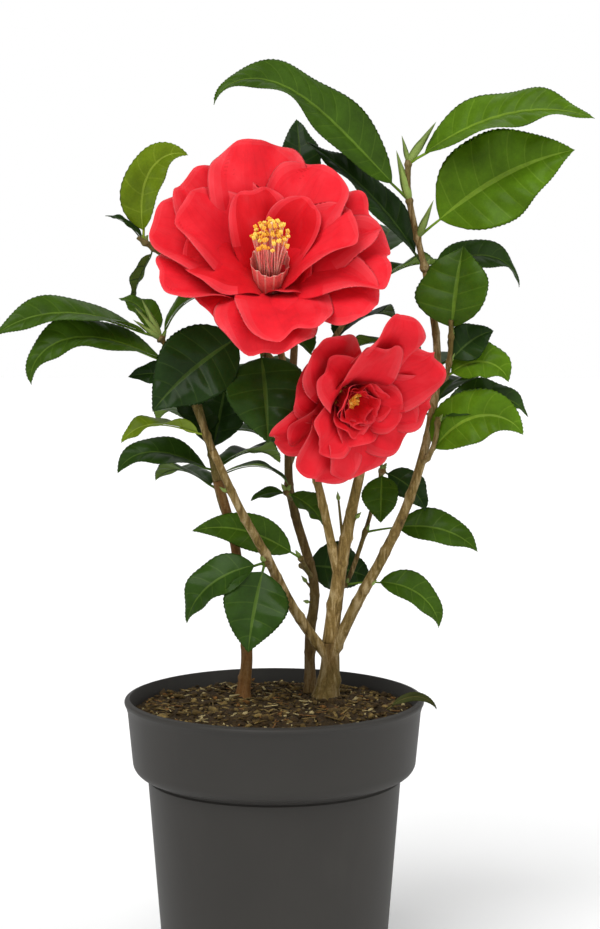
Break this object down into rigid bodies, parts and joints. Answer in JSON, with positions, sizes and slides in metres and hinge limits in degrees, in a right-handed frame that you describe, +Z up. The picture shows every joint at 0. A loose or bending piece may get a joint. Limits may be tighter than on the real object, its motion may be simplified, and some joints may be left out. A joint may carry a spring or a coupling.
{
  "type": "potted camellia shrub",
  "caption": "Young camellia shrub with open double red flowers, bare lower stems and glossy dark leaves, growing in a plain round tapered nursery pot filled with peat.",
  "frame": {"origin": "centre of the pot's flat underside", "axes": "+Z up along the pot's axis, -Y towards the front that the flowers face, +X to the right seen from the front"},
  "size_m": [0.2909, 0.1926, 0.4592],
  "materials": {
    "pot_plastic": "fine matt moulded",
    "peat": "coarse and fibrous",
    "bark": "matt, with leaf scars",
    "leaf": "glossy above, matt below",
    "petal": "velvety"
  },
  "bodies": {
    "root": {"pot": "pot_plastic", "soil": "peat", "trunk": "bark", "stem_back": "bark", "stem_left": "bark", "bough_centre": "bark", "bough_left": "bark", "bough_right": "bark", "bough_centre_left": "bark", "bloom_upper": "petal", "bloom_lower": "petal", "spray_right_top": "leaf", "spray_right_mid": "leaf", "spray_right_low": "leaf", "spray_low_right": "leaf", "spray_left": "leaf", "spray_left_low": "leaf", "spray_low_left": "leaf", "spray_low_centre": "leaf", "spray_centre": "leaf", "spray_upper_left": "leaf", "spray_low_back": "leaf", "spray_mid_back": "leaf", "spray_back_top": "leaf", "spray_back_right": "leaf", "spray_back_low": "leaf", "spray_back_left": "leaf", "spray_far_right": "leaf"}
  },
  "joints": []
}
